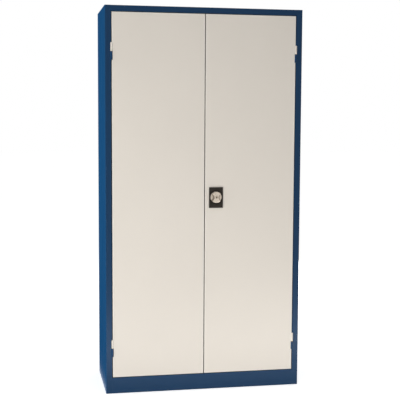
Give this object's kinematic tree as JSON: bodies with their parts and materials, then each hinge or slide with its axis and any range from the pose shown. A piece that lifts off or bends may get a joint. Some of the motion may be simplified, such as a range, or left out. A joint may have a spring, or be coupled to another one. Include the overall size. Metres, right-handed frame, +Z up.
{
  "type": "tool cabinet",
  "caption": "Tall steel cupboard with flush double doors, a round turn handle with a rod lock, and adjustable tray shelves.",
  "frame": {"origin": "on the floor, under the middle of the cupboard's body (knob not counted)", "axes": "+Z up, -Y out of the doors, +X to the right of someone facing the doors"},
  "size_m": [1.008, 0.455, 1.95],
  "materials": {
    "body_blue": "satin powder coat, deep blue",
    "door_grey": "satin powder coat, warm light grey",
    "shelf_grey": "satin powder coat, light grey",
    "zinc": "bright zinc plated",
    "bright_steel": "oiled bright steel",
    "brass": "turned",
    "die_cast": "die cast zinc alloy",
    "brass_nickel": "nickel plated, worn",
    "chrome": "polished",
    "black_plastic": "fine moulded grain",
    "guide_nylon": "moulded nylon",
    "buffer_rubber": "matt"
  },
  "bodies": {
    "cupboard": {"left_side_panel": "body_blue", "right_side_panel": "body_blue", "back_panel": "body_blue", "top_panel": "body_blue", "bottom_panel": "body_blue", "base_frame": "body_blue", "upper_door_stop": "body_blue", "lower_door_stop": "body_blue", "front_left_upright": "body_blue", "front_right_upright": "body_blue", "rear_left_upright": "body_blue", "rear_right_upright": "body_blue", "shelf_1": "shelf_grey", "shelf_1_clips": "zinc", "shelf_2": "shelf_grey", "shelf_2_clips": "zinc", "shelf_3": "shelf_grey", "shelf_3_clips": "zinc", "shelf_4": "shelf_grey", "shelf_4_clips": "zinc", "left_frame_hinges": "body_blue", "right_frame_hinges": "body_blue", "hinge_pins": "zinc", "hinge_washers": "brass"},
    "left_door": {"left_door_panel": "door_grey", "left_door_stiffener": "door_grey", "left_door_hinges": "door_grey", "left_door_buffers": "buffer_rubber", "left_door_keeper": "door_grey"},
    "right_door": {"right_door_panel": "door_grey", "right_door_stiffener": "door_grey", "right_door_hinges": "door_grey", "right_door_buffers": "buffer_rubber", "lock_escutcheon": "black_plastic", "lock_case": "die_cast", "lock_case_cover": "zinc", "case_cover_screws": "zinc", "escutcheon_screws": "zinc", "upper_rod_guide": "guide_nylon", "lower_rod_guide": "guide_nylon", "rod_guide_screws": "zinc"},
    "handle": {"turn_handle": "chrome", "cylinder_sleeve": "chrome", "lock_spindle": "zinc", "lock_pinion": "bright_steel", "latch_cam": "zinc", "cam_washer": "zinc", "cam_nut": "zinc"},
    "key_plug": {"key_plug": "brass_nickel"},
    "upper_rod": {"upper_rack": "bright_steel", "upper_lock_rod": "zinc"},
    "lower_rod": {"lower_rack": "bright_steel", "lower_lock_rod": "zinc"}
  },
  "joints": [
    {"name": "left_door_swing", "type": "hinge", "parent": "cupboard", "child": "left_door", "pos_m": [-0.4715, -0.2175, 0.975], "axis": [0, 0, -1], "range_deg": [0, 110]},
    {"name": "right_door_swing", "type": "hinge", "parent": "cupboard", "child": "right_door", "pos_m": [0.4715, -0.2175, 0.975], "axis": [0, 0, 1], "range_deg": [0, 110]},
    {"name": "handle_turn", "type": "hinge", "parent": "right_door", "child": "handle", "pos_m": [0.058, -0.2175, 0.998], "axis": [0, 1, 0], "range_deg": [0, 90]},
    {"name": "key_turn", "type": "hinge", "parent": "handle", "child": "key_plug", "pos_m": [0.058, -0.2175, 0.998], "axis": [0, 1, 0], "range_deg": [0, 90]},
    {"name": "upper_rod_slide", "type": "slide", "parent": "right_door", "child": "upper_rod", "axis": [0, 0, 1], "range_m": [0, 0.0126]},
    {"name": "lower_rod_slide", "type": "slide", "parent": "right_door", "child": "lower_rod", "axis": [0, 0, -1], "range_m": [0, 0.0126]}
  ],
  "couplings": [
    {"joint": "upper_rod_slide", "follows": "handle_turn", "m_per_rad": 0.008},
    {"joint": "lower_rod_slide", "follows": "handle_turn", "m_per_rad": 0.008}
  ]
}
